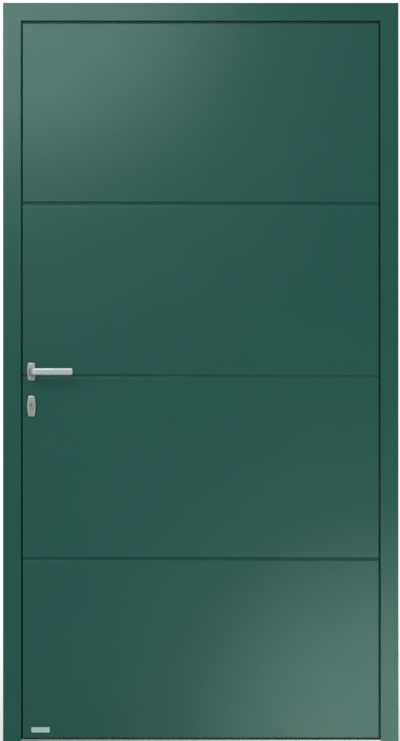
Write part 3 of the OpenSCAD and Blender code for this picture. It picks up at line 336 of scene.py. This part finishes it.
def cloudy_metal(name, colour, cloud_mm, smooth, rough):
    """Plated metal: a bright skin with faint clouds left by the bath."""
    material, tree, place = start_material(name)
    cloud = add(tree, "ShaderNodeTexNoise", {"Vector": place, "Scale": per_metre(cloud_mm), "Detail": 4.0})
    tint = add(tree, "ShaderNodeMix", {
        MIX_FACTOR: cloud.outputs["Fac"], MIX_A: shaded(colour, 0.85), MIX_B: shaded(colour, 1.1),
    }, data_type="RGBA")
    roughness = add(tree, "ShaderNodeMapRange", {
        "Value": cloud.outputs["Fac"], "From Min": 0.3, "From Max": 0.7, "To Min": smooth, "To Max": rough,
    })
    grain = add(tree, "ShaderNodeTexNoise", {"Vector": place, "Scale": per_metre(0.8)})
    bump = add(tree, "ShaderNodeBump", {"Height": grain.outputs["Fac"], "Strength": 0.1, "Distance": 2e-5})
    shader = add(tree, "ShaderNodeBsdfPrincipled", {
        "Base Color": tint.outputs[MIX_RESULT], "Metallic": 1.0, "Roughness": roughness.outputs["Result"],
        "Normal": bump.outputs["Normal"],
    })
    add(tree, "ShaderNodeOutputMaterial", {"Surface": shader.outputs["BSDF"]})
    return material


def matt_solid(name, colour, grain_mm, contrast, roughness, relief_mm):
    """Matt plastic, rubber, foam or board: a dull body with a grain that catches a little light."""
    material, tree, place = start_material(name)
    grain = add(tree, "ShaderNodeTexNoise", {"Vector": place, "Scale": per_metre(grain_mm), "Detail": 3.0})
    tint = add(tree, "ShaderNodeMix", {
        MIX_FACTOR: grain.outputs["Fac"], MIX_A: shaded(colour, 1 - contrast),
        MIX_B: shaded(colour, 1 + contrast),
    }, data_type="RGBA")
    bump = add(tree, "ShaderNodeBump", {
        "Height": grain.outputs["Fac"], "Strength": 0.4, "Distance": relief_mm / 1000,
    })
    shader = add(tree, "ShaderNodeBsdfPrincipled", {
        "Base Color": tint.outputs[MIX_RESULT], "Roughness": roughness,
        "Normal": bump.outputs["Normal"], "IOR": 1.5,
    })
    add(tree, "ShaderNodeOutputMaterial", {"Surface": shader.outputs["BSDF"]})
    return material


def fading_floor(name, colour):
    """Matt studio floor that fades into the backdrop some way off, so no horizon shows behind the door."""
    material, tree, place = start_material(name)
    away = add(tree, "ShaderNodeVectorMath", {0: place}, operation="LENGTH")
    shown = add(tree, "ShaderNodeMapRange", {
        "Value": away.outputs["Value"], "From Min": FADE_NEAR, "From Max": FADE_FAR,
        "To Min": 1.0, "To Max": 0.0,
    }, interpolation_type="SMOOTHSTEP")
    matt = add(tree, "ShaderNodeBsdfDiffuse", {"Color": list(colour)})
    clear = add(tree, "ShaderNodeBsdfTransparent")
    mixed = add(tree, "ShaderNodeMixShader", {
        0: shown.outputs["Result"], 1: clear.outputs[0], 2: matt.outputs[0],
    })
    add(tree, "ShaderNodeOutputMaterial", {"Surface": mixed.outputs[0]})
    return material


class DOOR_OT_paint(DoorStep):
    """Powder coat on the frame and on the leaf's skins"""
    bl_idname = "door.paint"
    bl_label = "Paint"

    def execute(self, context):
        dress(FRAME_PAINTED, powder_coat("powder_coat_on_aluminium", self.colours.paint))
        dress(LEAF_PAINTED, powder_coat("powder_coat_on_steel", self.colours.paint))
        return {"FINISHED"}


class DOOR_OT_seals(DoorStep):
    """Rubber seals and the frame's thermal-break bars"""
    bl_idname = "door.seals"
    bl_label = "Seals"

    def execute(self, context):
        colours = self.colours
        rubber = matt_solid(
            "extruded_rubber", colours.rubber,
            grain_mm=1.5, contrast=0.25, roughness=0.7, relief_mm=0.05,
        )
        dress(SEALS, rubber)
        polyamide = matt_solid(
            "filled_polyamide", colours.polyamide,
            grain_mm=0.8, contrast=0.3, roughness=0.55, relief_mm=0.03,
        )
        dress(["thermal_break_bars"], polyamide)
        return {"FINISHED"}


class DOOR_OT_threshold(DoorStep):
    """Anodised threshold and the cleats inside the frame's corners"""
    bl_idname = "door.threshold"
    bl_label = "Threshold"

    def execute(self, context):
        # Die lines run the whole length of the extrusion
        gloss = {"line_mm": 1.5, "smooth": 0.45, "rough": 0.58, "stretch": 700}
        finish = brushed_metal("anodised_aluminium", self.colours.aluminium, along=X, **gloss)
        dress(["threshold", "corner_cleats"], finish)
        return {"FINISHED"}


class DOOR_OT_handles(DoorStep):
    """Levers and roses in satin stainless steel"""
    bl_idname = "door.handles"
    bl_label = "Handles"

    def execute(self, context):
        colours = self.colours
        gloss = {"line_mm": 0.8, "smooth": 0.38, "rough": 0.5}
        # Painted reflection: the green tint of both steels. Painted shade: the rose's darker tone.
        dress(LEVERS, brushed_metal("satin_stainless_lever_painted_reflection", colours.lever, along=X, **gloss))
        dress(ROSES, brushed_metal("satin_stainless_rose_painted_shade_and_reflection", colours.rose, along=Z, **gloss))
        return {"FINISHED"}


class DOOR_OT_hinges(DoorStep):
    """Hinge bases, wings and pins in satin stainless steel"""
    bl_idname = "door.hinges"
    bl_label = "Hinges"

    def execute(self, context):
        finish = brushed_metal(
            "satin_stainless_hinge", self.colours.hinge,
            along=Z, line_mm=0.8, smooth=0.3, rough=0.42,
        )
        dress(HINGES + ["hinge_pins"], finish)
        return {"FINISHED"}


class DOOR_OT_lock(DoorStep):
    """Forend, keeps, bolts, lock cases and key cylinder"""
    bl_idname = "door.lock"
    bl_label = "Lock"

    def execute(self, context):
        colours = self.colours
        dark = shaded(colours.steel, 0.8)
        strip = brushed_metal(
            "drawn_steel_strip", colours.steel,
            along=Z, line_mm=0.8, smooth=0.28, rough=0.4,
        )
        dress(STRIPS, strip)
        bolt = brushed_metal("hardened_steel_bolt", dark, along=Y, line_mm=0.6, smooth=0.22, rough=0.34)
        dress(BOLTS, bolt)
        zinc = cloudy_metal("bright_zinc_plating", colours.zinc, cloud_mm=9.0, smooth=0.24, rough=0.4)
        dress(PLATED, zinc)
        nickel = cloudy_metal("satin_nickel_plating", colours.nickel, cloud_mm=5.0, smooth=0.26, rough=0.34)
        dress(["cylinder_body", "key_plugs"], nickel)
        return {"FINISHED"}


class DOOR_OT_core(DoorStep):
    """Edge members and foam inside the leaf"""
    bl_idname = "door.core"
    bl_label = "Core"

    def execute(self, context):
        colours = self.colours
        # The board's colour is lighter than the leaf's paint: painted light in the shaded gaps round the
        # leaf
        board_and_gap_light = matt_solid(
            "laminated_board_painted_gap_light", colours.board_and_gap_light,
            grain_mm=3.0, contrast=0.2, roughness=0.6, relief_mm=0.1,
        )
        dress(EDGES, board_and_gap_light)
        foam = matt_solid(
            "closed_cell_foam", colours.foam,
            grain_mm=2.0, contrast=0.12, roughness=0.9, relief_mm=0.4,
        )
        dress(["foam_core"], foam)
        return {"FINISHED"}


def solids_in(node):
    """Points of each separate solid in a CAD node, read from a merged copy of its mesh."""
    bm = bmesh.new()
    bm.from_mesh(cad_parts[node].data)
    bmesh.ops.remove_doubles(bm, verts=bm.verts, dist=MERGE)
    solids = []
    for first in bm.verts:
        if first.tag:
            continue
        first.tag = True
        reached, points = [first], []
        while reached:
            vert = reached.pop()
            points.append(vert.co.copy())
            for edge in vert.link_edges:
                other = edge.other_vert(vert)
                if not other.tag:
                    other.tag = True
                    reached.append(other)
        solids.append(points)
    bm.free()
    return solids


def screw_place(points):
    """A countersunk screw's head place, the way it faces, and its head radius, shank radius and length."""
    lo = Vector([min(p[i] for p in points) for i in range(3)])
    hi = Vector([max(p[i] for p in points) for i in range(3)])
    axis = max(range(3), key=lambda i: hi[i] - lo[i])
    middle = (lo + hi) / 2

    def radius_at(end):
        near = [p - middle for p in points if abs(p[axis] - end) < MERGE]
        return max(math.hypot(*(p[i] for i in range(3) if i != axis)) for p in near)

    radii = radius_at(lo[axis]), radius_at(hi[axis])
    facing = Vector((0, 0, 0))
    facing[axis] = 1 if radii[1] > radii[0] else -1
    head = middle.copy()
    head[axis] = hi[axis] if radii[1] > radii[0] else lo[axis]
    return head, facing, max(radii), min(radii), hi[axis] - lo[axis]


def add_screw(bm, place, sizes):
    """Adds a countersunk screw with a six-lobe drive, made facing up and then turned to its place."""
    head, facing, head_r, shank_r, length = place
    one = bmesh.new()
    bmesh.ops.create_circle(one, cap_ends=True, segments=SCREW_SIDES, radius=head_r)
    top = one.faces[:][0]
    bmesh.ops.inset_region(one, faces=[top], thickness=DRIVE_RIM * head_r)
    for vert in top.verts:
        turn = math.atan2(vert.co.y, vert.co.x)
        vert.co *= 1 - LOBE_DEPTH * (1 + math.cos(DRIVE_LOBES * turn))
    floor = bmesh.ops.extrude_face_region(one, geom=[top])["geom"]
    bmesh.ops.delete(one, geom=[top], context="FACES_ONLY")
    sunk = [g for g in floor if isinstance(g, bmesh.types.BMVert)]
    bmesh.ops.translate(one, vec=(0, 0, -sizes.drive_depth), verts=sunk)
    rim = [e for e in one.edges if e.is_boundary]
    for radius, depth in ((shank_r, sizes.head_height), (shank_r, length)):
        rim = bmesh.ops.extrude_edge_only(one, edges=rim)["geom"]
        ring = [g for g in rim if isinstance(g, bmesh.types.BMVert)]
        rim = [g for g in rim if isinstance(g, bmesh.types.BMEdge)]
        for vert in ring:
            vert.co = Vector((vert.co.x, vert.co.y, 0)).normalized() * radius - Vector((0, 0, depth))
    bmesh.ops.edgeloop_fill(one, edges=rim)
    bmesh.ops.recalc_face_normals(one, faces=one.faces)
    turned = Matrix.Translation(head) @ facing.to_track_quat("Z", "Y").to_matrix().to_4x4()
    bmesh.ops.transform(one, matrix=turned, verts=one.verts)
    mesh = bpy.data.meshes.new("screw")
    one.to_mesh(mesh)
    one.free()
    bm.from_mesh(mesh)
    bpy.data.meshes.remove(mesh)


class DOOR_OT_screws(DoorStep):
    """Countersunk screws with six-lobe drives in the frame, the leaf and the cylinder"""
    bl_idname = "door.screws"
    bl_label = "Screws"

    def execute(self, context):
        finish = cloudy_metal("zinc_plated_screw", self.colours.zinc, cloud_mm=4.0, smooth=0.26, rough=0.4)
        for node, body in SCREWS.items():
            bm = bmesh.new()
            for points in solids_in(node):
                add_screw(bm, screw_place(points), self.sizes)
            piece = place_piece(f"{node}_with_drives", bm, finish, body)
            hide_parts(node)
        return {"FINISHED"}


class DOOR_OT_grub_screws(DoorStep):
    """Grub screws under the levers' collars, which hold the levers on their spindle"""
    bl_idname = "door.grub_screws"
    bl_label = "Grub Screws"

    def execute(self, context):
        sizes = self.sizes
        bm = bmesh.new()
        for lever, rose in zip(LEVERS, ROSES):
            lever_lo, lever_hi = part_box(lever)
            rose_lo, rose_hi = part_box(rose)
            outside = lever_lo.y + lever_hi.y < 0
            y = rose_lo.y - sizes.grub_off if outside else rose_hi.y + sizes.grub_off
            head = Vector(((rose_lo.x + rose_hi.x) / 2, y, lever_lo.z))
            add_screw(bm, (head, Vector((0, 0, -1)), sizes.grub_r, sizes.grub_r, sizes.grub_len), sizes)
        zinc = self.colours.zinc
        finish = cloudy_metal("zinc_plated_grub_screw", zinc, cloud_mm=3.0, smooth=0.26, rough=0.4)
        place_piece("lever_grub_screws", bm, finish, "lever_set")
        return {"FINISHED"}


class DOOR_OT_spring(DoorStep):
    """Round-wire latch spring, which takes the place of the CAD spring"""
    bl_idname = "door.spring"
    bl_label = "Spring"

    def execute(self, context):
        lo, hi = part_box("latch_spring")
        wire_r = self.sizes.wire_r
        middle = (lo + hi) / 2
        coil_r = (hi.z - lo.z) / 2 - wire_r
        bm = bmesh.new()
        ring = bmesh.ops.create_circle(bm, segments=WIRE_SIDES, radius=wire_r)["verts"]
        start = Matrix.Translation((lo.x + wire_r, middle.y, middle.z + coil_r))
        bmesh.ops.transform(bm, matrix=start @ Matrix.Rotation(math.pi / 2, 4, "X"), verts=ring)
        steps = SPRING_TURNS * TURN_STEPS
        advance = (hi.x - lo.x - 2 * wire_r) / steps
        bmesh.ops.spin(
            bm, geom=bm.verts[:] + bm.edges[:], cent=middle, axis=(1, 0, 0), dvec=(advance, 0, 0),
            angle=2 * math.pi * SPRING_TURNS, steps=steps, use_merge=False, use_duplicate=False,
        )
        bmesh.ops.edgeloop_fill(bm, edges=[e for e in bm.edges if e.is_boundary])
        bmesh.ops.recalc_face_normals(bm, faces=bm.faces)
        dark = shaded(self.colours.steel, 0.6)
        finish = cloudy_metal("spring_steel_wire", dark, cloud_mm=2.0, smooth=0.25, rough=0.35)
        piece = place_piece("round_wire_spring", bm, finish, "leaf", smooth=True)
        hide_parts("latch_spring")
        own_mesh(piece)
        return {"FINISHED"}


class DOOR_OT_plate(DoorStep):
    """Small bare plate with a raised rim near the leaf's lower corner"""
    bl_idname = "door.plate"
    bl_label = "Plate"

    def execute(self, context):
        sizes = self.sizes
        skin_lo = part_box("outer_skin")[0]
        size = Vector((sizes.plate_w, sizes.plate_t, sizes.plate_h))
        middle = Vector((
            skin_lo.x + sizes.plate_from_edge,
            skin_lo.y - sizes.plate_t / 2,
            skin_lo.z + sizes.plate_from_bottom,
        ))
        bm = bmesh.new()
        bmesh.ops.create_cube(bm, size=1.0)
        bmesh.ops.scale(bm, vec=size, verts=bm.verts)
        corners = [e for e in bm.edges if abs((e.verts[0].co - e.verts[1].co).y) > size.y / 2]
        bmesh.ops.bevel(
            bm, geom=corners, offset=sizes.plate_corner, offset_type="OFFSET", affect="EDGES",
            segments=CORNER_STEPS, profile=0.5, material=-1,
        )
        front = min(bm.faces, key=lambda f: f.calc_center_median().y)
        bmesh.ops.inset_region(bm, faces=[front], thickness=sizes.plate_rim, depth=0.0)
        bmesh.ops.inset_region(bm, faces=[front], thickness=sizes.plate_field, depth=-sizes.plate_field)
        bmesh.ops.translate(bm, vec=middle, verts=bm.verts)
        finish = brushed_metal(
            "anodised_plate", self.colours.plate,
            along=X, line_mm=0.8, smooth=0.34, rough=0.44,
        )
        place_piece("bare_plate", bm, finish, "leaf")
        return {"FINISHED"}


class DOOR_OT_stage(DoorStep):
    """Floor, camera, lamps and pale backdrop"""
    bl_idname = "door.stage"
    bl_label = "Stage"

    def execute(self, context):
        scene = context.scene
        stage = scene.door_stage
        scene.view_settings.view_transform = "Standard"
        self.lay_floor(scene)
        self.set_camera(scene, stage)
        self.hang_lamps(scene, stage)
        self.light_room(scene, stage)
        return {"FINISHED"}

    def lay_floor(self, scene):
        """Lays a wide round floor that keeps the door's shadow."""
        bm = bmesh.new()
        bmesh.ops.create_circle(bm, cap_ends=True, segments=FLOOR_SIDES, radius=FLOOR_R)
        mesh = bpy.data.meshes.new("studio_floor")
        bm.to_mesh(mesh)
        bm.free()
        mesh.materials.append(fading_floor("matt_floor", self.colours.floor))
        floor = bpy.data.objects.new("studio_floor", mesh)
        scene.collection.objects.link(floor)
        # The card that shows in the paint's lower corner reaches below floor level
        floor.visible_glossy = False
        floor.visible_shadow = False

    def set_camera(self, scene, stage):
        """Sets a square-on camera in which the frame's edges fall on the given pixels."""
        lo, hi = CAD_BOX
        face_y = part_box("head_outer")[0].y
        pixel = (hi.x - lo.x) / (stage.photo_right - stage.photo_left)
        data = bpy.data.cameras.new("camera")
        data.lens = stage.lens
        distance = IMAGE_H * pixel * stage.lens / data.sensor_width
        camera = bpy.data.objects.new("camera", data)
        camera.location = (
            lo.x + (IMAGE_W / 2 - stage.photo_left) * pixel,
            face_y - distance,
            hi.z - (IMAGE_H / 2 - stage.photo_top) * pixel,
        )
        camera.rotation_euler = (math.pi / 2, 0, 0)
        data.clip_end = FAR_CLIP
        scene.collection.objects.link(camera)
        scene.camera = camera

    def hang_lamps(self, scene, stage):
        """Hangs the soft lamps before, behind and above the door, and the cards before it."""
        lo, hi = CAD_BOX
        middle = (lo + hi) / 2

        def aim(name, place, side, power):
            self.hang_lamp(scene, name, place, middle - place, side, side, power)

        for where, turn in (("front", 1), ("back", -1)):
            half_turn = Vector((turn, turn, 1))
            aim(f"{where}_key_lamp", Vector(KEY_PLACE) * half_turn, KEY_SIDE, stage.key_power)
            aim(f"{where}_fill_lamp", Vector(FILL_PLACE) * half_turn, FILL_SIDE, stage.fill_power)
        aim("top_lamp", Vector(TOP_PLACE), TOP_SIDE, stage.top_power)
        # Cards whose blurred reflections lighten opposite corners of the paint
        cards = (
            self.hang_card(scene, "upper_card", Vector((lo.x, 0, hi.z)), *UPPER_CARD, stage.card_power),
            self.hang_card(scene, "lower_card", Vector((hi.x, 0, lo.z)), *LOWER_CARD, stage.card_power),
        )
        # An open leaf would mirror them glaringly along its inner face
        unlit = bpy.data.collections.new("unlit_by_cards")
        unlit.objects.link(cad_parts["inner_skin"])
        unlit.collection_objects[0].light_linking.link_state = "EXCLUDE"
        for card in cards:
            card.light_linking.receiver_collection = unlit

    def hang_lamp(self, scene, name, place, aim, width, height, power):
        """Hangs one area lamp that points along aim and that the camera doesn't see."""
        data = bpy.data.lights.new(name, "AREA")
        data.shape = "RECTANGLE"
        data.size = width
        data.size_y = height
        data.energy = power
        lamp = bpy.data.objects.new(name, data)
        lamp.location = place
        lamp.rotation_euler = aim.to_track_quat("-Z", "Y").to_euler()
        lamp.visible_camera = False
        scene.collection.objects.link(lamp)
        return lamp

    def hang_card(self, scene, name, corner, half_w, half_h, power):
        """Hangs an oval card that shows mirrored at a corner of the door, with these half sizes."""
        eye = scene.camera.location
        face_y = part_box("head_outer")[0].y
        spread = 1 + CARD_AHEAD / (face_y - eye.y)
        place = eye + (corner - eye) * spread
        place.y = face_y - CARD_AHEAD
        width, height = 2 * half_w * spread, 2 * half_h * spread
        lamp = self.hang_lamp(scene, name, place, Vector((0, 1, 0)), width, height, power)
        lamp.data.shape = "ELLIPSE"
        lamp.data.color = self.colours.card[:3]
        lamp.visible_diffuse = False
        return lamp

    def light_room(self, scene, stage):
        """Gives the room its even light, its backdrop in mirrors and its white background."""
        world = bpy.data.worlds.new("studio")
        world.use_nodes = True
        tree = world.node_tree
        tree.nodes.clear()
        path = add(tree, "ShaderNodeLightPath").outputs
        room = add(tree, "ShaderNodeBackground", {"Color": WHITE, "Strength": stage.ambient})
        backdrop = add(tree, "ShaderNodeBackground", {"Color": WHITE, "Strength": stage.backdrop})
        white = add(tree, "ShaderNodeBackground", {"Color": WHITE, "Strength": 1.0})
        mirrored = add(tree, "ShaderNodeMath", {
            0: path["Is Glossy Ray"], 1: path["Is Transmission Ray"],
        }, operation="MAXIMUM")
        seen = add(tree, "ShaderNodeMixShader", {
            0: mirrored.outputs[0], 1: room.outputs[0], 2: backdrop.outputs[0],
        })
        shown = add(tree, "ShaderNodeMixShader", {
            0: path["Is Camera Ray"], 1: seen.outputs[0], 2: white.outputs[0],
        })
        add(tree, "ShaderNodeOutputWorld", {"Surface": shown.outputs[0]})
        scene.world = world


STEPS = (
    DOOR_OT_stage, DOOR_OT_paint, DOOR_OT_seals, DOOR_OT_threshold, DOOR_OT_handles, DOOR_OT_hinges,
    DOOR_OT_lock, DOOR_OT_core, DOOR_OT_screws, DOOR_OT_grub_screws, DOOR_OT_spring, DOOR_OT_plate,
)
GROUPS = {"door_colours": DoorColours, "door_sizes": DoorSizes, "door_stage": DoorStage}


class DOOR_PT_panel(bpy.types.Panel):
    """Steps and settings of the front door"""
    bl_idname = "DOOR_PT_panel"
    bl_label = "Front Door"
    bl_space_type = "VIEW_3D"
    bl_region_type = "UI"
    bl_category = "Front Door"

    def draw(self, context):
        for step in STEPS:
            self.layout.operator(step.bl_idname)
        for name, group in GROUPS.items():
            box = self.layout.box()
            for setting in group.__annotations__:
                box.prop(getattr(context.scene, name), setting)


def register():
    for name, group in GROUPS.items():
        bpy.utils.register_class(group)
        setattr(bpy.types.Scene, name, bpy.props.PointerProperty(type=group))
    for step in (*STEPS, DOOR_PT_panel):
        bpy.utils.register_class(step)


def unregister():
    for step in reversed((*STEPS, DOOR_PT_panel)):
        bpy.utils.unregister_class(step)
    for name, group in reversed(GROUPS.items()):
        delattr(bpy.types.Scene, name)
        bpy.utils.unregister_class(group)


def main():
    register()
    for step in STEPS:
        group, name = step.bl_idname.split(".")
        getattr(getattr(bpy.ops, group), name)()


if __name__ == "__main__":
    main()
